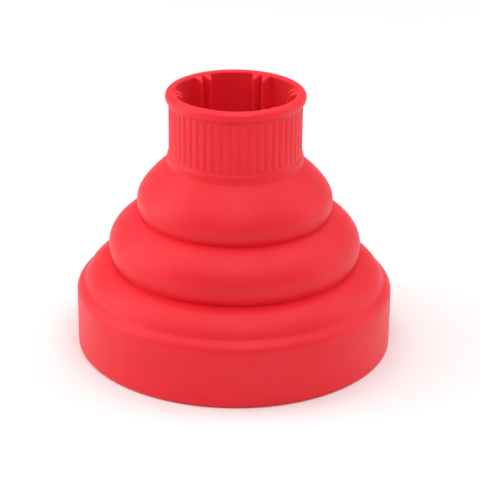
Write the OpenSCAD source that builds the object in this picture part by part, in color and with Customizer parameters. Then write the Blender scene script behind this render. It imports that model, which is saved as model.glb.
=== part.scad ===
// Collapsible bell-shaped dryer diffuser in soft silicone.
// Origin: centre of the wide rim's lower edge. +Z runs up the air path to the neck.
// All sizes in millimetres.

/* [Overall] */
// Height from the rim's lower edge to the top of the lip
total_h = 115; // [108:1:122]
// Outer diameter of the wide rim
base_d = 138; // [136:0.5:142]
// Thickness of the stiff rings
ring_wall = 1.8; // [1.4:0.1:2.2]
// Thickness of the thin webs that fold
web_wall = 1.2; // [0.8:0.1:1.6]

/* [Neck] */
// Outer diameter of the lip
lip_d = 60; // [59:0.5:62]
// Height of the lip
lip_h = 5.2; // [4.6:0.1:6]
// Outer diameter of the fluted sleeve
sleeve_d = 57.2; // [56.4:0.1:58]
// Inner diameter of the neck
bore_d = 52; // [50:0.5:53]
// Number of flutes round the sleeve
flute_count = 50; // [36:2:60]
// Depth of each flute
flute_depth = 0.45; // [0.2:0.05:0.8]
// Radius that each flute is cut with
flute_r = 1.6; // [1.4:0.1:2.2]
// Outer diameter of the bead at the foot of the neck
root_bead_d = 58.6; // [58:0.2:60]
// Height of the bead at the foot of the neck
root_bead_h = 4; // [3:0.5:5]

/* [Grip ribs] */
// Pairs of ribs inside the neck
rib_pairs = 6; // [4:1:8]
// Width of one rib
rib_w = 3.4; // [3:0.1:4]
// Distance between the middles of the two ribs in a pair
rib_pitch = 4.5; // [4.4:0.1:5.5]
// Diameter that the rib crests close in on, where the nozzle seats
seat_d = 43.6; // [42:0.2:46]
// Height of the straight seat
seat_h = 12; // [8:0.5:14]
// Crest diameter at the top of the lead-in ramp
ramp_top_d = 46; // [44.4:0.2:48]
// Height of each rib's rounded nose, above the ramp
nose_h = 2.6; // [2:0.2:4]
// Distance that the ribs stop short of the lip's top
rib_drop = 1.2; // [1:0.1:3]
// Turn of the first pair from +X, in degrees
rib_turn = 4.5; // [0:0.5:30]

/* [Tiers] */
// Height of the fold between the neck and the upper tier
neck_fold_z = 83.8; // [82:0.2:86]
// Radius of the neck at that fold
neck_fold_r = 28.2; // [27.6:0.1:28.6]
// Greatest radius of the upper tier
upper_crown_r = 42.3; // [41.5:0.1:43]
// Height at which the upper tier is widest
upper_crown_z = 67; // [66:0.5:68]
// Radius of the crease under the upper tier
upper_crease_r = 40.8; // [40:0.1:41.4]
// Height of the crease under the upper tier
upper_crease_z = 60.4; // [60:0.1:61]
// Greatest radius of the middle tier
middle_crown_r = 54.7; // [54:0.1:55.4]
// Height at which the middle tier is widest
middle_crown_z = 46.5; // [46:0.5:47.5]
// Radius of the crease under the middle tier
middle_crease_r = 52.4; // [51.8:0.1:53]
// Height of the crease under the middle tier
middle_crease_z = 38.9; // [38.4:0.1:39.4]

/* [Rim] */
// Height of the straight band of the rim
rim_h = 26; // [25:0.5:27]
// Thickness of the rim's wall
rim_wall = 2.6; // [2.2:0.1:3]
// Radius of the rim's lower outer edge
rim_edge_r = 1.4; // [0.8:0.1:1.8]

/* [Diffuser plate] */
// Height of the plate's lower face
plate_z = 15; // [13:0.5:16]
// Thickness of the plate
plate_t = 2.4; // [2:0.2:3]
// Diameter of each air hole
hole_d = 4.5; // [3.5:0.1:5]
// Diameter of a finger where it leaves the plate
finger_root_d = 6.4; // [5:0.2:6.6]
// Diameter of a finger's round tip
finger_tip_d = 4.2; // [3:0.2:4.6]
// Height of the finger tips above the rim's lower edge
finger_tip_z = 5; // [4:0.5:7]

/* [Hidden] */
$fn = 96;
silicone_red = [0.89, 0.16, 0.2];
plate_red = [0.8, 0.13, 0.17];

rib_count = 2 * rib_pairs;
rib_names = [for (i = [1:rib_count]) str("grip_rib_", i)];

bore_r = bore_d / 2;
sleeve_r = sleeve_d / 2;
seat_r = seat_d / 2;
base_r = base_d / 2;
rim_inner_r = base_r - rim_wall;
lip_z = total_h - lip_h;
sleeve_z = neck_fold_z + root_bead_h;
rib_bottom_z = neck_fold_z + 1;
seat_top_z = rib_bottom_z + seat_h;
rib_top_z = total_h - rib_drop;

// The share of each dome's curve that folds; the rest is the stiff ring.
upper_web_share = 0.68;
middle_web_share = 0.72;
lower_web_share = 0.9;

// The shoulder ends in a small hollow, then the rounded ledge of the rim.
hollow_r = base_r - 3.8;
hollow_z = rim_h + 4.2;
ledge_r = base_r - 2.8;
ledge_z = rim_h + 3;
// Height at which the ledge has turned into the straight band.
band_top_z = rim_h - 1.2;

// Rings of air holes: [ring radius, number of holes, share of a step turned].
hole_rings = [
    [9, 6, 0], [17, 8, 0.5], [25, 18, 0], [34, 14, 0.5],
    [42, 30, 0], [51, 20, 0.5], [59.5, 42, 0]
];
// Rings of fingers: [ring radius, number of fingers].
inner_finger_ring = [17, 8];
middle_finger_ring = [34, 14];
outer_finger_ring = [51, 20];

// Each curve is four points: start, its handle, the end's handle, end.
upper_dome = [
    [neck_fold_r, neck_fold_z],
    [neck_fold_r + 1.4, neck_fold_z - 0.1],
    [upper_crown_r, upper_crown_z + 6.2],
    [upper_crown_r, upper_crown_z]
];
upper_tuck = [
    [upper_crown_r, upper_crown_z],
    [upper_crown_r, upper_crown_z - 3.6],
    [upper_crease_r + 1, upper_crease_z + 1.4],
    [upper_crease_r, upper_crease_z]
];
middle_dome = [
    [upper_crease_r, upper_crease_z],
    [upper_crease_r + 3.6, upper_crease_z],
    [middle_crown_r, middle_crown_z + 7.5],
    [middle_crown_r, middle_crown_z]
];
middle_tuck = [
    [middle_crown_r, middle_crown_z],
    [middle_crown_r, middle_crown_z - 4],
    [middle_crease_r + 1.5, middle_crease_z + 1.4],
    [middle_crease_r, middle_crease_z]
];
shoulder_dome = [
    [middle_crease_r, middle_crease_z],
    [middle_crease_r + 6.2, middle_crease_z - 0.2],
    [hollow_r - 2, hollow_z + 4.4],
    [hollow_r, hollow_z]
];
shoulder_hollow = [
    [hollow_r, hollow_z],
    [hollow_r + 0.3, hollow_z - 0.7],
    [ledge_r - 0.4, ledge_z + 0.2],
    [ledge_r, ledge_z]
];
rim_ledge = [
    [ledge_r, ledge_z],
    [ledge_r + 1.4, ledge_z - 0.7],
    [base_r, ledge_z - 2],
    [base_r, band_top_z]
];

// --- Curves -----------------------------------------------------------

function curve_point(c, t) =
    pow(1 - t, 3) * c[0] + 3 * pow(1 - t, 2) * t * c[1]
    + 3 * (1 - t) * t * t * c[2] + pow(t, 3) * c[3];

function curve_slope(c, t) =
    3 * pow(1 - t, 2) * (c[1] - c[0]) + 6 * (1 - t) * t * (c[2] - c[1])
    + 3 * t * t * (c[3] - c[2]);

// The point at t, moved by d to the inner side of the wall.
function inner_point(c, t, d) =
    let (s = curve_slope(c, t))
    curve_point(c, t) + d / norm(s) * [s[1], -s[0]];

function steps(from, to, count) =
    [for (i = [0:count]) from + (to - from) * i / count];

function outer_line(c, from, to, count) =
    [for (t = steps(from, to, count)) curve_point(c, t)];

function inner_line(c, from, to, count, d) =
    [for (t = steps(from, to, count)) inner_point(c, t, d)];

function arc_line(centre, r, from, to, count) =
    [for (a = steps(from, to, count)) centre + r * [cos(a), sin(a)]];

function backwards(points) =
    [for (i = [len(points) - 1:-1:0]) points[i]];

// --- Building blocks --------------------------------------------------

module revolved(points) {
    rotate_extrude()
        polygon(points);
}

// A flat ring.
module band(outer, inner, low, high) {
    revolved([[inner, low], [outer, low], [outer, high], [inner, high]]);
}

// A thin web: a flat foot under the part above, then the dome's skin.
module fold_web(dome, share, foot_wall) {
    start = dome[0];
    skin = outer_line(dome, 0, share, 14);
    lining = inner_line(dome, 0.12, share, 12, web_wall);
    revolved(concat(
        [[start[0] - foot_wall, start[1]]],
        skin,
        backwards(lining),
        [[start[0] - foot_wall, start[1] - web_wall]]
    ));
}

// A stiff ring: the rest of the dome, then the tuck down to the crease.
module tier_ring(dome, tuck, share) {
    skin = concat(outer_line(dome, share, 1, 6), outer_line(tuck, 0.125, 1, 7));
    lining = concat(
        inner_line(dome, share + 0.08, 1, 5, ring_wall),
        inner_line(tuck, 0.125, 0.75, 5, ring_wall)
    );
    crease = tuck[3];
    revolved(concat(
        skin,
        [[crease[0] - ring_wall, crease[1]]],
        backwards(lining),
        [inner_point(dome, share, web_wall)]
    ));
}

// One soft finger that hangs from the plate, with a round tip.
module finger() {
    tip_r = finger_tip_d / 2;
    tip_top_z = finger_tip_z + tip_r;
    revolved(concat(
        [[0, finger_tip_z]],
        arc_line([0, tip_top_z], tip_r, -75, 0, 5),
        [[finger_root_d / 2, plate_z], [0, plate_z]]
    ));
}

module finger_ring(ring) {
    for (i = [0:ring[1] - 1])
        rotate([0, 0, 360 * i / ring[1]])
            translate([ring[0], 0, 0])
                finger();
}

// --- Neck -------------------------------------------------------------

module neck_lip() {
    round_r = 2.2;
    round_centre = [lip_d / 2 - round_r, total_h - 2.6];
    inner_round_r = 1;
    color(silicone_red)
        revolved(concat(
            [[bore_r, lip_z], [sleeve_r, lip_z]],
            arc_line(round_centre, round_r, -50, 0, 5),
            arc_line([round_centre[0], total_h - round_r], round_r, 0, 90, 8),
            arc_line([bore_r + inner_round_r, total_h - inner_round_r], inner_round_r, 90, 180, 5)
        ));
}

module neck_sleeve() {
    cut_centre_r = sleeve_r + flute_r - flute_depth;
    color(silicone_red)
        translate([0, 0, sleeve_z])
            linear_extrude(lip_z - sleeve_z)
                difference() {
                    circle(r = sleeve_r);
                    circle(r = bore_r);
                    for (i = [0:flute_count - 1])
                        rotate(360 * i / flute_count)
                            translate([cut_centre_r, 0])
                                circle(r = flute_r);
                }
}

module neck_root_bead() {
    bead_r = root_bead_d / 2;
    bead_z = neck_fold_z + 2.6;
    color(silicone_red)
        revolved([
            [bore_r, neck_fold_z],
            [neck_fold_r, neck_fold_z],
            [neck_fold_r + 0.3, neck_fold_z + 0.8],
            [bead_r - 0.2, bead_z - 0.8],
            [bead_r, bead_z],
            [bead_r - 0.2, bead_z + 0.7],
            [sleeve_r, sleeve_z],
            [bore_r, sleeve_z]
        ]);
}

// One rib: its crest is a straight seat, then a lead-in ramp and a rounded nose.
module grip_rib(number) {
    pair = floor((number - 1) / 2);
    side = number % 2 == 1 ? -1 : 1;
    nose_z = rib_top_z - nose_h;
    nose_depth = bore_r - ramp_top_d / 2;
    color(silicone_red)
        intersection() {
            revolved(concat(
                [[bore_r, rib_bottom_z], [seat_r, rib_bottom_z], [seat_r, seat_top_z]],
                [for (a = steps(0, 90, 4)) [bore_r - nose_depth * cos(a), nose_z + nose_h * sin(a)]]
            ));
            rotate([0, 0, rib_turn + 360 * pair / rib_pairs])
                translate([seat_r - 4, side * rib_pitch / 2 - rib_w / 2, rib_bottom_z - 1])
                    cube([bore_r - seat_r + 6, rib_w, rib_top_z - rib_bottom_z + 2]);
        }
}

// --- Bellows ----------------------------------------------------------

module upper_fold_web() {
    color(silicone_red)
        fold_web(upper_dome, upper_web_share, neck_fold_r - bore_r);
}

module upper_tier_ring() {
    color(silicone_red)
        tier_ring(upper_dome, upper_tuck, upper_web_share);
}

module middle_fold_web() {
    color(silicone_red)
        fold_web(middle_dome, middle_web_share, ring_wall);
}

module middle_tier_ring() {
    color(silicone_red)
        tier_ring(middle_dome, middle_tuck, middle_web_share);
}

module lower_fold_web() {
    color(silicone_red)
        fold_web(shoulder_dome, lower_web_share, ring_wall);
}

// --- Base -------------------------------------------------------------

module shoulder_ring() {
    color(silicone_red)
        revolved(concat(
            outer_line(shoulder_dome, lower_web_share, 1, 2),
            outer_line(shoulder_hollow, 0.25, 1, 3),
            [[ledge_r - rim_wall, ledge_z]],
            [inner_point(shoulder_dome, lower_web_share, web_wall)]
        ));
}

module base_rim() {
    color(silicone_red)
        revolved(concat(
            outer_line(rim_ledge, 0, 1, 8),
            arc_line([base_r - rim_edge_r, rim_edge_r], rim_edge_r, 0, -90, 6),
            [[rim_inner_r, 0], [rim_inner_r, band_top_z], [ledge_r - rim_wall, ledge_z]]
        ));
}

module plate_seat_ring() {
    seat_z = plate_z + plate_t;
    color(silicone_red)
        band(rim_inner_r, rim_inner_r - 2, seat_z, seat_z + 2);
}

module plate_retaining_bead() {
    color(silicone_red)
        revolved([
            [rim_inner_r, plate_z - 2.4],
            [rim_inner_r, plate_z],
            [rim_inner_r - 1.2, plate_z],
            [rim_inner_r - 1.2, plate_z - 0.8]
        ]);
}

module diffuser_plate() {
    plate_gap = 0.2;
    color(plate_red)
        difference() {
            translate([0, 0, plate_z])
                cylinder(r = rim_inner_r - plate_gap, h = plate_t);
            translate([0, 0, plate_z - 1])
                cylinder(d = hole_d, h = plate_t + 2);
            for (ring = hole_rings)
                for (i = [0:ring[1] - 1])
                    rotate([0, 0, 360 * (i + ring[2]) / ring[1]])
                        translate([ring[0], 0, plate_z - 1])
                            cylinder(d = hole_d, h = plate_t + 2);
        }
}

module inner_fingers() {
    color(plate_red)
        finger_ring(inner_finger_ring);
}

module middle_fingers() {
    color(plate_red)
        finger_ring(middle_finger_ring);
}

module outer_fingers() {
    color(plate_red)
        finger_ring(outer_finger_ring);
}

// --- Assembly ---------------------------------------------------------

neck_lip();
neck_sleeve();
neck_root_bead();
for (i = [1:rib_count])
    grip_rib(i);
upper_fold_web();
upper_tier_ring();
middle_fold_web();
middle_tier_ring();
lower_fold_web();
shoulder_ring();
base_rim();
plate_seat_ring();
plate_retaining_bead();
diffuser_plate();
inner_fingers();
middle_fingers();
outer_fingers();
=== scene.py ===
"""Looks of a collapsible silicone dryer diffuser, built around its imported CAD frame."""
import math

import bpy
import numpy as np
from mathutils import Matrix, Vector


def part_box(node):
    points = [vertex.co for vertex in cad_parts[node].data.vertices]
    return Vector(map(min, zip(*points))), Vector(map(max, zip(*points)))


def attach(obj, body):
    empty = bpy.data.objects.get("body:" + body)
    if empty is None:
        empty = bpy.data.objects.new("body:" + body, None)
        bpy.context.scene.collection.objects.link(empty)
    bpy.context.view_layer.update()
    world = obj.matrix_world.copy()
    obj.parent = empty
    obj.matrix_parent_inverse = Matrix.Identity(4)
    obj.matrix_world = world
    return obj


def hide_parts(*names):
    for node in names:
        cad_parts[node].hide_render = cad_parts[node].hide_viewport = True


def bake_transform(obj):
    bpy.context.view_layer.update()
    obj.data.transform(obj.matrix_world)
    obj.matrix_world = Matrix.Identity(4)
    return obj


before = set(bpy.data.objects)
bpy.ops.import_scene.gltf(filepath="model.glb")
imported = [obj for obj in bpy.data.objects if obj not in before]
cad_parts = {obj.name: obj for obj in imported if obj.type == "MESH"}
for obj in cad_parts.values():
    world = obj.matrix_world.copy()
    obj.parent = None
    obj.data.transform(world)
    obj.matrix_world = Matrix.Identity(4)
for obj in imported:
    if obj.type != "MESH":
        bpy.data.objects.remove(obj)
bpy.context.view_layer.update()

MM = 0.001

# ---------------------------------------------------------------- sizes
# Heights and radii that the frame's boxes give, in metres.


def low_z(node):
    """The height of a CAD node's lowest point."""
    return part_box(node)[0].z


def high_z(node):
    """The height of a CAD node's highest point."""
    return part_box(node)[1].z


def radius(node):
    """The greatest radius of a CAD node that is round about the Z axis."""
    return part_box(node)[1].x


LIP_R = radius("neck_lip")
LIP_LOW = low_z("neck_lip")
LIP_HIGH = high_z("neck_lip")
SLEEVE_R = radius("neck_sleeve")
SLEEVE_LOW = low_z("neck_sleeve")
BEAD_R = radius("neck_root_bead")
NECK_FOLD_Z = low_z("neck_root_bead")
RIB_LOW = low_z("grip_rib_1")
UPPER_CROWN_R = radius("upper_tier_ring")
UPPER_CREASE_Z = low_z("upper_tier_ring")
MIDDLE_CROWN_R = radius("middle_tier_ring")
MIDDLE_CREASE_Z = low_z("middle_tier_ring")
LEDGE_Z = low_z("shoulder_ring")
RIM_R = radius("base_rim")
PLATE_LOW = low_z("diffuser_plate")
PLATE_HIGH = high_z("diffuser_plate")
FINGER_TIP_Z = low_z("outer_fingers")

# Radii and heights inside the profile, the same as in the part's source.
BORE_R = 26 * MM
NECK_FOLD_R = 28.2 * MM
UPPER_CROWN_Z = 67 * MM
UPPER_CREASE_R = 40.8 * MM
MIDDLE_CROWN_Z = 46.5 * MM
MIDDLE_CREASE_R = 52.4 * MM
HOLLOW_R = RIM_R - 3.8 * MM
HOLLOW_Z = LEDGE_Z + 1.2 * MM
LEDGE_R = RIM_R - 2.8 * MM
BAND_TOP_Z = LEDGE_Z - 4.2 * MM
RIM_WALL = 2.6 * MM
RIM_EDGE_R = 1.4 * MM
RIM_INNER_R = RIM_R - RIM_WALL
RING_WALL = 1.8 * MM
WEB_WALL = 1.2 * MM
UPPER_WEB_SHARE = 0.68
MIDDLE_WEB_SHARE = 0.72
LOWER_WEB_SHARE = 0.9

# Flutes: how many, how deep, the length that they fade out over, and how square the grooves are.
FLUTES = 50
FLUTE_DEPTH = 0.5 * MM
FLUTE_FADE = 1.3 * MM
FLUTE_POWER = 0.4
FLUTE_COLUMNS = 20

# Grip ribs: a rounded ridge with a straight seat, a lead-in ramp above it and a rounded nose.
RIB_PAIRS = 6
RIB_PITCH = 4.5 * MM
RIB_CREST_HALF = 0.45 * MM
RIB_ROOT_HALF_TOP = 2.3 * MM
RIB_SPREAD = 0.4 * MM
RIB_ROOT_R = BORE_R + 0.6 * MM
RIB_TURN = math.radians(4.5)
SEAT_R = 21.8 * MM
SEAT_HIGH = RIB_LOW + 12 * MM
RAMP_TOP_R = 22.5 * MM
RAMP_HIGH = LIP_HIGH - 3.8 * MM
NOSE_TOP = LIP_HIGH - 0.6 * MM
RAMP_POWER = 1.4
NOSE_POWER = 2.8
RIB_COLUMNS = 45
RIB_ROWS = 24
NOSE_ROWS = 16

# Each ring of holes is its radius in millimetres, the number of holes and the share of a step turned.
HOLE_R = 2.25 * MM
HOLE_RINGS = ((9, 6, 0), (17, 8, 0.5), (25, 18, 0), (34, 14, 0.5),
              (42, 30, 0), (51, 20, 0.5), (59.5, 42, 0))
# Each ring of fingers is its radius in millimetres and the number of fingers.
FINGER_RINGS = {"inner_fingers": (17, 8), "middle_fingers": (34, 14), "outer_fingers": (51, 20)}
FINGER_ROOT_R = 3.2 * MM
FINGER_TIP_R = 2.1 * MM

# Soft joints between one feature and the next: where the curves above and below are left and met.
JOINT_LEAVES = 0.93
JOINT_MEETS = 0.05
JOINT_REACH = 0.35 * MM
BEAD_JOINT_MEETS = 0.15
BEAD_JOINT_REACH = 0.8 * MM
# How far a joint's underside dips into the part below, and a bead's root into the wall.
SINK = 0.35 * MM
WALL_BITE = 0.1 * MM

# Shares of a curve where the inner side of a wall starts or ends, so that it doesn't cross itself.
WEB_LINING_START = 0.12
RING_LINING_GAP = 0.08
TUCK_LINING_END = 0.75

# Columns round a turned piece, and the angles at which an edge stays crisp.
TURNS = 288
SHARP_ANGLE = math.radians(42)
RIB_SHARP_ANGLE = math.radians(60)

# ---------------------------------------------------------------- camera

CAMERA_BACK = 0.7382
CAMERA_HEIGHT = 0.3681
CAMERA_DOWN = math.radians(23.57)
CAMERA_YAW = -0.0032
CAMERA_ROLL = 0.010
CAMERA_LENS = 138.1


def make_camera():
    """The camera at the photograph's height, distance and slight roll."""
    data = bpy.data.cameras.new("camera")
    data.sensor_width = 36
    data.lens = CAMERA_LENS
    data.clip_start = 0.01
    data.clip_end = 50
    camera = bpy.data.objects.new("camera", data)
    camera.matrix_world = (
        Matrix.Translation((0, -CAMERA_BACK, CAMERA_HEIGHT))
        @ Matrix.Rotation(CAMERA_YAW, 4, "Z")
        @ Matrix.Rotation(math.pi / 2 - CAMERA_DOWN, 4, "X")
        @ Matrix.Rotation(CAMERA_ROLL, 4, "Z")
    )
    bpy.context.scene.collection.objects.link(camera)
    bpy.context.scene.camera = camera


# ---------------------------------------------------------------- curves


def curve_point(curve, t):
    """The point at t on a curve of four points: start, two handles, end."""
    a, b, c, d = (np.array(p) for p in curve)
    return (1 - t) ** 3 * a + 3 * (1 - t) ** 2 * t * b + 3 * (1 - t) * t * t * c + t ** 3 * d


def curve_slope(curve, t):
    """The direction of a curve at t, longer where the curve runs faster."""
    a, b, c, d = (np.array(p) for p in curve)
    return 3 * (1 - t) ** 2 * (b - a) + 6 * (1 - t) * t * (c - b) + 3 * t * t * (d - c)


def inner_point(curve, t, depth):
    """The point at t, moved to the inner side of the wall."""
    slope = curve_slope(curve, t)
    return curve_point(curve, t) + depth / np.linalg.norm(slope) * np.array((slope[1], -slope[0]))


def skin_line(curve, start, end, count):
    """Points along a curve, from one share of it to another."""
    return [curve_point(curve, t) for t in np.linspace(start, end, count + 1)]


def lining_line(curve, start, end, count, depth):
    """The same points on the inner side of a wall."""
    return [inner_point(curve, t, depth) for t in np.linspace(start, end, count + 1)]


def arc_line(centre, r, start, end, count):
    """Points on an arc, with its angles in degrees."""
    angles = np.radians(np.linspace(start, end, count + 1))
    return [np.array((centre[0] + r * math.cos(a), centre[1] + r * math.sin(a))) for a in angles]


def straight(start, end, count):
    """Points between two ends, without the ends."""
    shares = np.linspace(0, 1, count + 2)[1:-1]
    return [np.array(start) * (1 - s) + np.array(end) * s for s in shares]


def soft_joint(above, above_t, below, below_t, reach):
    """A small hollow from the lower part of one curve to the start of the next."""
    start, end = curve_point(above, above_t), curve_point(below, below_t)
    leave, arrive = curve_slope(above, above_t), curve_slope(below, below_t)
    leave = leave / np.linalg.norm(leave) * reach
    arrive = arrive / np.linalg.norm(arrive) * reach
    return skin_line((start, start + leave, end - arrive, end), 0, 1, 14)


# ---------------------------------------------------------------- profile
# Each curve is four points: start, its handle, the end's handle, end.

BEAD_Z = NECK_FOLD_Z + 2.5 * MM
ROOT_CROWN = (
    (SLEEVE_R, SLEEVE_LOW),
    (SLEEVE_R + 0.1 * MM, SLEEVE_LOW - 0.5 * MM),
    (BEAD_R, BEAD_Z + 0.7 * MM),
    (BEAD_R, BEAD_Z),
)
UPPER_DOME = (
    (NECK_FOLD_R, NECK_FOLD_Z),
    (NECK_FOLD_R + 1.4 * MM, NECK_FOLD_Z - 0.1 * MM),
    (UPPER_CROWN_R, UPPER_CROWN_Z + 6.2 * MM),
    (UPPER_CROWN_R, UPPER_CROWN_Z),
)
UPPER_TUCK = (
    (UPPER_CROWN_R, UPPER_CROWN_Z),
    (UPPER_CROWN_R, UPPER_CROWN_Z - 3.6 * MM),
    (UPPER_CREASE_R + 1 * MM, UPPER_CREASE_Z + 1.4 * MM),
    (UPPER_CREASE_R, UPPER_CREASE_Z),
)
MIDDLE_DOME = (
    (UPPER_CREASE_R, UPPER_CREASE_Z),
    (UPPER_CREASE_R + 3.6 * MM, UPPER_CREASE_Z),
    (MIDDLE_CROWN_R, MIDDLE_CROWN_Z + 7.5 * MM),
    (MIDDLE_CROWN_R, MIDDLE_CROWN_Z),
)
MIDDLE_TUCK = (
    (MIDDLE_CROWN_R, MIDDLE_CROWN_Z),
    (MIDDLE_CROWN_R, MIDDLE_CROWN_Z - 4 * MM),
    (MIDDLE_CREASE_R + 1.5 * MM, MIDDLE_CREASE_Z + 1.4 * MM),
    (MIDDLE_CREASE_R, MIDDLE_CREASE_Z),
)
SHOULDER_DOME = (
    (MIDDLE_CREASE_R, MIDDLE_CREASE_Z),
    (MIDDLE_CREASE_R + 6.2 * MM, MIDDLE_CREASE_Z - 0.2 * MM),
    (HOLLOW_R - 2 * MM, HOLLOW_Z + 4.4 * MM),
    (HOLLOW_R, HOLLOW_Z),
)
SHOULDER_HOLLOW = (
    (HOLLOW_R, HOLLOW_Z),
    (HOLLOW_R + 0.25 * MM, HOLLOW_Z - 0.5 * MM),
    (LEDGE_R - 0.45 * MM, LEDGE_Z + 0.35 * MM),
    (LEDGE_R, LEDGE_Z),
)
RIM_LEDGE = (
    (LEDGE_R, LEDGE_Z),
    (LEDGE_R + 0.7 * MM, LEDGE_Z - 0.55 * MM),
    (RIM_R, LEDGE_Z - 2.2 * MM),
    (RIM_R, BAND_TOP_Z),
)

# ---------------------------------------------------------------- meshes


def show(name, mesh, sharp_angle=SHARP_ANGLE):
    """Puts a mesh in the scene, smooth-shaded but with crisp corners."""
    mesh.polygons.foreach_set("use_smooth", [True] * len(mesh.polygons))
    mesh.set_sharp_from_angle(angle=sharp_angle)
    mesh.update()
    piece = bpy.data.objects.new(name, mesh)
    bpy.context.scene.collection.objects.link(piece)
    return piece


def build(name, points, faces, sharp_angle=SHARP_ANGLE):
    """A piece from lists of points and faces."""
    mesh = bpy.data.meshes.new(name)
    mesh.from_pydata(points, [], faces)
    return show(name, mesh, sharp_angle)


def ring_faces(rows, columns):
    """Quads of a grid that closes on itself both ways."""
    row, column = np.meshgrid(np.arange(rows), np.arange(columns), indexing="ij")
    next_row = (row + 1) % rows
    next_column = (column + 1) % columns
    corners = (row * columns + column, row * columns + next_column,
               next_row * columns + next_column, next_row * columns + column)
    return np.stack(corners, -1).reshape(-1, 4)


def tube_faces(rows, columns, first=0):
    """Faces of a closed tube that rises ring by ring from point number first, with both end caps."""
    faces = []
    for i in range(rows - 1):
        low = first + i * columns
        high = low + columns
        for j in range(columns):
            k = (j + 1) % columns
            faces.append((low + j, low + k, high + k, high + j))
    last = first + (rows - 1) * columns
    faces.append(tuple(reversed(range(first, first + columns))))
    faces.append(tuple(range(last, last + columns)))
    return faces


def revolved(name, outline, turns=TURNS, carve=None):
    """A closed outline of (radius, height), drawn anticlockwise, turned round the Z axis.

    carve(radius, height, angle) gives the radius after flutes are cut.
    """
    line = np.array(outline)
    angle = np.linspace(0, 2 * math.pi, turns, endpoint=False)
    r, a = np.meshgrid(line[:, 0], angle, indexing="ij")
    z = np.repeat(line[:, 1][:, None], turns, 1)
    if carve is not None:
        r = carve(r, z, a)
    points = np.stack((r * np.cos(a), r * np.sin(a), z), -1).reshape(-1, 3)
    return build(name, points.tolist(), ring_faces(len(line), turns).tolist())


# ---------------------------------------------------------------- neck


def make_lip():
    """The rounded bead round the mouth."""
    round_r = 2.2 * MM
    inner_r = 1 * MM
    half_height = 2.6 * MM
    step_out = 0.1 * MM
    step_up = 0.25 * MM
    centre_r = LIP_R - round_r
    low_centre = (centre_r, LIP_HIGH - half_height)
    high_centre = (centre_r, LIP_HIGH - round_r)
    inner_centre = (BORE_R + inner_r, LIP_HIGH - inner_r)
    outline = [(BORE_R, LIP_LOW), (SLEEVE_R, LIP_LOW), (SLEEVE_R + step_out, LIP_LOW + step_up)]
    outline += arc_line(low_centre, round_r, -52, 0, 10)
    outline += arc_line(high_centre, round_r, 0, 90, 16)
    outline += arc_line(inner_centre, inner_r, 90, 180, 10)
    outline += straight(outline[-1], outline[0], 6)
    return revolved("lip_bead", outline)


def cut_flutes(r, z, angle):
    """Shallow round flutes that fade out at both ends of the sleeve."""
    wave = 0.5 - 0.5 * np.cos(angle * FLUTES)
    reach = np.minimum(z - SLEEVE_LOW, LIP_LOW - z) / FLUTE_FADE
    fade = np.sin(np.clip(reach, 0, 1) * math.pi / 2)
    outside = r > (BORE_R + SLEEVE_R) / 2
    return np.where(outside, r - FLUTE_DEPTH * fade * (1 - wave ** FLUTE_POWER), r)


def make_sleeve():
    """The fluted tube."""
    low, high = (SLEEVE_R, SLEEVE_LOW), (SLEEVE_R, LIP_LOW)
    outline = [(BORE_R, SLEEVE_LOW), low]
    outline += straight(low, high, 30)
    outline += [high, (BORE_R, LIP_LOW)]
    outline += straight((BORE_R, LIP_LOW), (BORE_R, SLEEVE_LOW), 12)
    return revolved("fluted_sleeve", outline, FLUTES * FLUTE_COLUMNS, cut_flutes)


def make_root_bead():
    """The small bead at the foot of the flutes, running softly into the dome below."""
    skirt = soft_joint(ROOT_CROWN, 1, UPPER_DOME, BEAD_JOINT_MEETS, BEAD_JOINT_REACH)
    foot = skirt[-1]
    outline = [(BORE_R, NECK_FOLD_Z), (NECK_FOLD_R, NECK_FOLD_Z - SINK), (foot[0], foot[1] - SINK)]
    outline += skirt[::-1]
    outline += skin_line(ROOT_CROWN, 1, 0, 8)[1:]
    outline += [(BORE_R, SLEEVE_LOW)]
    outline += straight((BORE_R, SLEEVE_LOW), (BORE_R, NECK_FOLD_Z), 3)
    return revolved("root_bead", outline)


def crest_radius(z):
    """How far a rib reaches in: seat, lead-in ramp, rounded nose that ends in the lip."""
    if z <= SEAT_HIGH:
        return SEAT_R
    if z <= RAMP_HIGH:
        share = (z - SEAT_HIGH) / (RAMP_HIGH - SEAT_HIGH)
        return SEAT_R + (RAMP_TOP_R - SEAT_R) * share ** RAMP_POWER
    share = min((z - RAMP_HIGH) / (NOSE_TOP - RAMP_HIGH), 1)
    return RIB_ROOT_R - (RIB_ROOT_R - RAMP_TOP_R) * (1 - share ** NOSE_POWER) ** (1 / NOSE_POWER)


def rib_section(z):
    """A rib's smooth ridge across, as (radius, sideways), with both ends inside the wall."""
    depth = max(BORE_R - crest_radius(z), 0)
    root_half = RIB_ROOT_HALF_TOP + RIB_SPREAD * (NOSE_TOP - z) / (NOSE_TOP - RIB_LOW)
    across = np.linspace(-root_half, root_half, RIB_COLUMNS)
    fall = np.clip((np.abs(across) - RIB_CREST_HALF) / (root_half - RIB_CREST_HALF), 0, 1)
    ridge = BORE_R - depth * (0.5 + 0.5 * np.cos(fall * math.pi))
    ends = [(RIB_ROOT_R, root_half), (RIB_ROOT_R, -root_half)]
    return list(zip(ridge, across)) + ends


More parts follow.
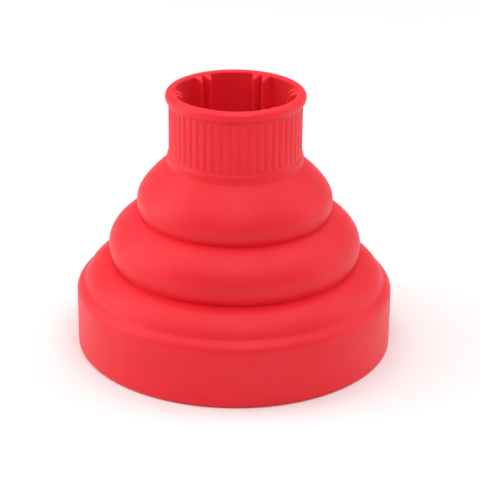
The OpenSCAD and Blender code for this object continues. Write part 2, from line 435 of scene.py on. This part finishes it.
def make_rib(number):
    """One grip rib. Its crest lies on a circle round the neck's axis."""
    pair = (number - 1) // 2
    side = -1 if number % 2 == 1 else 1
    turn = RIB_TURN + 2 * math.pi * pair / RIB_PAIRS
    nose_angles = np.radians(np.linspace(6, 90, NOSE_ROWS))
    heights = list(np.linspace(RIB_LOW, RAMP_HIGH, RIB_ROWS))
    heights += [RAMP_HIGH + (NOSE_TOP - RAMP_HIGH) * math.sin(a) for a in nose_angles]
    points = []
    for z in heights:
        section = rib_section(z)
        for r, sideways in section:
            y = side * RIB_PITCH / 2 + sideways
            x = math.sqrt(r * r - y * y)
            turned_x = x * math.cos(turn) - y * math.sin(turn)
            turned_y = x * math.sin(turn) + y * math.cos(turn)
            points.append((turned_x, turned_y, z))
    faces = tube_faces(len(heights), len(section))
    return build(f"rib_{number}", points, faces, RIB_SHARP_ANGLE)


# ---------------------------------------------------------------- bellows


def make_web(name, dome, share, foot_wall):
    """The thin skin that turns inside out: a flat foot under the part above, then the dome."""
    r, z = dome[0]
    outline = [(r - foot_wall, z - WEB_WALL)]
    outline += lining_line(dome, WEB_LINING_START, share, 40, WEB_WALL)
    outline += skin_line(dome, share, 0, 46)
    outline += [(r - foot_wall, z)]
    return revolved(name, outline)


def make_tier(name, dome, tuck, share, next_dome):
    """The stiff ring: the rest of the dome, the tuck, and a soft joint on to the next dome."""
    crease = tuck[3]
    joint = soft_joint(tuck, JOINT_LEAVES, next_dome, JOINT_MEETS, JOINT_REACH)
    foot = joint[-1]
    outline = [(crease[0] - RING_WALL, crease[1]), (crease[0], crease[1] - SINK),
               (foot[0], foot[1] - SINK)]
    outline += joint[::-1]
    outline += skin_line(tuck, JOINT_LEAVES, 0, 24)[1:]
    outline += skin_line(dome, 1, share, 26)[1:]
    outline += [inner_point(dome, share, WEB_WALL)]
    outline += lining_line(dome, share + RING_LINING_GAP, 1, 12, RING_WALL)
    outline += lining_line(tuck, 0, TUCK_LINING_END, 16, RING_WALL)[1:]
    return revolved(name, outline)


def make_shoulder():
    """The end of the lowest dome, with the small hollow above the ledge."""
    outline = [(LEDGE_R - RIM_WALL, LEDGE_Z), (LEDGE_R, LEDGE_Z)]
    outline += skin_line(SHOULDER_HOLLOW, 1, 0, 14)[1:]
    outline += skin_line(SHOULDER_DOME, 1, LOWER_WEB_SHARE, 6)[1:]
    outline += [inner_point(SHOULDER_DOME, LOWER_WEB_SHARE, WEB_WALL)]
    return revolved("shoulder", outline)


# ---------------------------------------------------------------- base


def make_rim():
    """The wide rim: rounded ledge, straight band and rounded lower edge."""
    edge = arc_line((RIM_R - RIM_EDGE_R, RIM_EDGE_R), RIM_EDGE_R, -90, 0, 10)
    inner_round = 0.5 * MM
    inner_edge = arc_line((RIM_INNER_R + inner_round, inner_round), inner_round, 180, 270, 6)
    band = straight((RIM_R, RIM_EDGE_R), (RIM_R, BAND_TOP_Z), 16)
    ledge = skin_line(RIM_LEDGE, 1, 0, 22)
    outline = inner_edge + edge + band + ledge
    outline += [(LEDGE_R - RIM_WALL, LEDGE_Z), (RIM_INNER_R, BAND_TOP_Z)]
    outline += straight((RIM_INNER_R, BAND_TOP_Z), (RIM_INNER_R, inner_round), 10)
    return revolved("rim_band", outline)


def make_seat_ring():
    """The bead that the plate is pushed up against."""
    low, high = low_z("plate_seat_ring"), high_z("plate_seat_ring")
    depth = 2 * MM
    corner = 0.7 * MM
    inner = RIM_INNER_R - depth
    wall = RIM_INNER_R + WALL_BITE
    outline = [(wall, low), (wall, high)]
    outline += arc_line((inner + corner, high - corner), corner, 90, 180, 6)
    outline += [(inner, low)]
    return revolved("plate_seat", outline)


def make_retaining_bead():
    """The small snap bead that keeps the plate in."""
    low, high = low_z("plate_retaining_bead"), high_z("plate_retaining_bead")
    wall = RIM_INNER_R + WALL_BITE
    depth = 1.2 * MM
    slope = 0.8 * MM
    inner = RIM_INNER_R - depth
    corner = 0.4 * MM
    outline = [(wall, low), (wall, high)]
    outline += arc_line((inner + corner, high - corner), corner, 90, 180, 5)
    outline += [(inner, high - slope)]
    return revolved("plate_snap_bead", outline)


def circle_spline(curve, centre, r):
    """A full circle of four Bezier points."""
    spline = curve.splines.new("BEZIER")
    spline.bezier_points.add(3)
    spline.use_cyclic_u = True
    handle = r * 4 / 3 * math.tan(math.pi / 8)
    for i, point in enumerate(spline.bezier_points):
        along = Vector((math.cos(i * math.pi / 2), math.sin(i * math.pi / 2), 0))
        across = Vector((-along.y, along.x, 0))
        point.co = Vector((centre[0], centre[1], 0)) + along * r
        point.handle_left = point.co - across * handle
        point.handle_right = point.co + across * handle


def make_plate():
    """The perforated plate, with softly rounded holes."""
    round_off = 0.35 * MM
    curve = bpy.data.curves.new("plate_outline", "CURVE")
    curve.dimensions = "2D"
    curve.fill_mode = "BOTH"
    curve.extrude = (PLATE_HIGH - PLATE_LOW) / 2 - round_off
    curve.bevel_depth = round_off
    curve.bevel_resolution = 2
    curve.offset = -round_off
    curve.resolution_u = 8
    circle_spline(curve, (0, 0), radius("diffuser_plate"))
    circle_spline(curve, (0, 0), HOLE_R)
    for ring_r, count, turn in HOLE_RINGS:
        for i in range(count):
            angle = 2 * math.pi * (i + turn) / count
            centre = (ring_r * MM * math.cos(angle), ring_r * MM * math.sin(angle))
            circle_spline(curve, centre, HOLE_R)
    holder = bpy.data.objects.new("plate_outline", curve)
    bpy.context.scene.collection.objects.link(holder)
    bpy.context.view_layer.update()
    evaluated = holder.evaluated_get(bpy.context.evaluated_depsgraph_get())
    mesh = bpy.data.meshes.new_from_object(evaluated)
    bpy.data.objects.remove(holder)
    mesh.name = "perforated_plate"
    mesh.transform(Matrix.Translation((0, 0, (PLATE_LOW + PLATE_HIGH) / 2)))
    return show("perforated_plate", mesh)


def finger_outline():
    """From a round tip up to a flared root in the plate, as (radius, height)."""
    flare = 0.9 * MM
    plate_bite = 0.3 * MM
    tip_centre = (0, FINGER_TIP_Z + FINGER_TIP_R)
    tip = arc_line(tip_centre, FINGER_TIP_R, -84, 0, 9)
    root_r = FINGER_ROOT_R + flare
    root = arc_line((root_r, PLATE_LOW - flare), flare, 180, 90, 5)
    return tip + straight(tip[-1], root[0], 6) + root + [(root_r, PLATE_LOW + plate_bite)]


def make_fingers(node):
    """One ring of fingers, all in one mesh."""
    ring_r, count = FINGER_RINGS[node]
    sides = 32
    line = finger_outline()
    angles = np.linspace(0, 2 * math.pi, sides, endpoint=False)
    points = []
    faces = []
    for i in range(count):
        at = 2 * math.pi * i / count
        centre_x = ring_r * MM * math.cos(at)
        centre_y = ring_r * MM * math.sin(at)
        faces += tube_faces(len(line), sides, len(points))
        for r, z in line:
            points += [(centre_x + r * math.cos(a), centre_y + r * math.sin(a), z) for a in angles]
    return build("soft_" + node, points, faces)


# ---------------------------------------------------------------- materials


def noise_node(tree, coordinates, scale, detail, roughness):
    """A noise that stays fixed to the piece. A larger scale is a finer noise."""
    noise = tree.nodes.new("ShaderNodeTexNoise")
    noise.inputs["Scale"].default_value = scale
    noise.inputs["Detail"].default_value = detail
    noise.inputs["Roughness"].default_value = roughness
    tree.links.new(coordinates.outputs["Object"], noise.inputs["Vector"])
    return noise


def spread(tree, source, low, high):
    """A number that runs from low to high over the middle of a noise."""
    ranged = tree.nodes.new("ShaderNodeMapRange")
    ranged.inputs["From Min"].default_value = 0.3
    ranged.inputs["From Max"].default_value = 0.7
    ranged.inputs["To Min"].default_value = low
    ranged.inputs["To Max"].default_value = high
    tree.links.new(source.outputs["Fac"], ranged.inputs["Value"])
    return ranged


def bump_node(tree, height, strength, distance, under=None):
    """Fine relief from a noise, laid over the relief in under."""
    bump = tree.nodes.new("ShaderNodeBump")
    bump.inputs["Strength"].default_value = strength
    bump.inputs["Distance"].default_value = distance
    tree.links.new(height.outputs["Fac"], bump.inputs["Height"])
    if under is not None:
        tree.links.new(under.outputs["Normal"], bump.inputs["Normal"])
    return bump


def silicone(name, deep, bright, rough_low, rough_high, grain):
    """Matte moulded silicone: faint cloudiness in colour and gloss, and a fine eroded grain."""
    material = bpy.data.materials.new(name)
    material.use_nodes = True
    tree = material.node_tree
    shader = tree.nodes["Principled BSDF"]
    coordinates = tree.nodes.new("ShaderNodeTexCoord")
    cloud = noise_node(tree, coordinates, scale=45, detail=3, roughness=0.5)
    smear = noise_node(tree, coordinates, scale=160, detail=4, roughness=0.6)
    fine = noise_node(tree, coordinates, scale=2600, detail=2, roughness=0.5)
    swell = noise_node(tree, coordinates, scale=110, detail=2, roughness=0.4)
    mix = tree.nodes.new("ShaderNodeMix")
    mix.data_type = "RGBA"
    mix.inputs["A"].default_value = (*deep, 1)
    mix.inputs["B"].default_value = (*bright, 1)
    share = spread(tree, cloud, 0, 1)
    tree.links.new(share.outputs["Result"], mix.inputs["Factor"])
    tree.links.new(mix.outputs["Result"], shader.inputs["Base Color"])
    rough = spread(tree, smear, rough_low, rough_high)
    tree.links.new(rough.outputs["Result"], shader.inputs["Roughness"])
    wave = bump_node(tree, swell, strength=0.25, distance=0.12 * MM)
    pores = bump_node(tree, fine, strength=grain, distance=0.03 * MM, under=wave)
    tree.links.new(pores.outputs["Normal"], shader.inputs["Normal"])
    shader.inputs["IOR"].default_value = 1.42
    shader.inputs["Subsurface Weight"].default_value = 0.3
    shader.inputs["Subsurface Radius"].default_value = (1.0, 0.15, 0.1)
    shader.inputs["Subsurface Scale"].default_value = 0.4 * MM
    shader.inputs["Sheen Weight"].default_value = 0.08
    shader.inputs["Sheen Roughness"].default_value = 0.45
    shader.inputs["Sheen Tint"].default_value = (1.0, 0.75, 0.76, 1)
    return material


def floor_material():
    """A smooth pale paper sweep."""
    material = bpy.data.materials.new("pale_floor")
    material.use_nodes = True
    tree = material.node_tree
    shader = tree.nodes["Principled BSDF"]
    coordinates = tree.nodes.new("ShaderNodeTexCoord")
    paper = noise_node(tree, coordinates, scale=30, detail=2, roughness=0.5)
    mix = tree.nodes.new("ShaderNodeMix")
    mix.data_type = "RGBA"
    mix.inputs["A"].default_value = (0.93, 0.93, 0.93, 1)
    mix.inputs["B"].default_value = (0.95, 0.95, 0.95, 1)
    tree.links.new(paper.outputs["Fac"], mix.inputs["Factor"])
    tree.links.new(mix.outputs["Result"], shader.inputs["Base Color"])
    shader.inputs["Roughness"].default_value = 0.9
    shader.inputs["Specular IOR Level"].default_value = 0.1
    return material


# ---------------------------------------------------------------- studio


def make_floor():
    """A flat pale floor, far larger than the view."""
    half = 4
    mesh = bpy.data.meshes.new("floor")
    corners = [(-half, -half, 0), (half, -half, 0), (half, half, 0), (-half, half, 0)]
    mesh.from_pydata(corners, [], [(0, 1, 2, 3)])
    floor = bpy.data.objects.new("floor", mesh)
    bpy.context.scene.collection.objects.link(floor)
    mesh.materials.append(floor_material())


def hang_lamp(data, at, target):
    """Puts a lamp in the scene and turns it to face target."""
    lamp = bpy.data.objects.new(data.name, data)
    lamp.location = at
    lamp.rotation_euler = (Vector(target) - Vector(at)).to_track_quat("-Z", "Y").to_euler()
    bpy.context.scene.collection.objects.link(lamp)


def soft_box(name, at, target, size, power):
    """A large soft light that faces target."""
    data = bpy.data.lights.new(name, "AREA")
    data.shape = "RECTANGLE"
    data.size, data.size_y = size
    data.energy = power
    hang_lamp(data, at, target)


def mouth_light(at, target, power):
    """A narrow soft-edged light that reaches down into the open neck."""
    data = bpy.data.lights.new("mouth_light", "SPOT")
    data.spot_size = math.radians(4)
    data.spot_blend = 1
    data.shadow_soft_size = 0.04
    data.energy = power
    hang_lamp(data, at, target)


def make_studio():
    """White surroundings, a large light above, and a stronger side light on the left."""
    world = bpy.data.worlds.new("white_room")
    world.use_nodes = True
    background = world.node_tree.nodes["Background"]
    background.inputs["Color"].default_value = (1, 1, 1, 1)
    background.inputs["Strength"].default_value = 0.3
    bpy.context.scene.world = world
    middle = (0, 0, 0.05)
    soft_box("left_light", (-0.95, 0.05, 0.5), middle, size=(0.7, 0.9), power=4.8)
    soft_box("right_light", (0.95, 0.15, 0.45), middle, size=(0.6, 0.9), power=2.4)
    soft_box("top_light", (0, 0.2, 2.6), middle, size=(4, 4), power=62)
    soft_box("front_light", (0.1, -0.75, 1.2), middle, size=(0.8, 0.8), power=3)
    mouth_light((0, -0.8, 1), (0, 0, LIP_HIGH), power=18)
    bpy.context.scene.view_settings.view_transform = "Standard"


# ---------------------------------------------------------------- assembly


def place(piece, material, nodes, body=None):
    """Gives a piece its material, hides the CAD nodes it stands for, and hangs it on its body if one
    is given.
    """
    piece.data.materials.clear()
    piece.data.materials.append(material)
    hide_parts(*nodes)
    if body is not None:
        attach(piece, body)


make_camera()
make_floor()
make_studio()

RED = silicone("red_silicone", deep=(0.85, 0.008, 0.022), bright=(0.9, 0.011, 0.027),
               rough_low=0.46, rough_high=0.56, grain=0.25)
INNER_RED = silicone("plate_silicone", deep=(0.8, 0.007, 0.02), bright=(0.85, 0.01, 0.025),
                     rough_low=0.44, rough_high=0.54, grain=0.3)

place(make_lip(), RED, ["neck_lip"], "neck")
place(make_sleeve(), RED, ["neck_sleeve"], "neck")
place(make_root_bead(), RED, ["neck_root_bead"], "neck")
for number in range(1, 2 * RIB_PAIRS + 1):
    place(make_rib(number), RED, [f"grip_rib_{number}"], "neck")

place(make_tier("upper_ring", UPPER_DOME, UPPER_TUCK, UPPER_WEB_SHARE, MIDDLE_DOME), RED,
      ["upper_tier_ring"], "upper_tier")
place(make_tier("middle_ring", MIDDLE_DOME, MIDDLE_TUCK, MIDDLE_WEB_SHARE, SHOULDER_DOME), RED,
      ["middle_tier_ring"], "middle_tier")
place(make_shoulder(), RED, ["shoulder_ring"], "base")
place(make_rim(), RED, ["base_rim"], "base")
place(make_seat_ring(), RED, ["plate_seat_ring"], "base")
place(make_retaining_bead(), RED, ["plate_retaining_bead"], "base")
place(make_plate(), INNER_RED, ["diffuser_plate"], "base")
for ring_name in FINGER_RINGS:
    place(make_fingers(ring_name), INNER_RED, [ring_name], "base")

upper_web = make_web("upper_web", UPPER_DOME, UPPER_WEB_SHARE, NECK_FOLD_R - BORE_R)
place(upper_web, RED, ["upper_fold_web"])
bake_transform(upper_web)
middle_web = make_web("middle_web", MIDDLE_DOME, MIDDLE_WEB_SHARE, RING_WALL)
place(middle_web, RED, ["middle_fold_web"])
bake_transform(middle_web)
lower_web = make_web("lower_web", SHOULDER_DOME, LOWER_WEB_SHARE, RING_WALL)
place(lower_web, RED, ["lower_fold_web"])
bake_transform(lower_web)
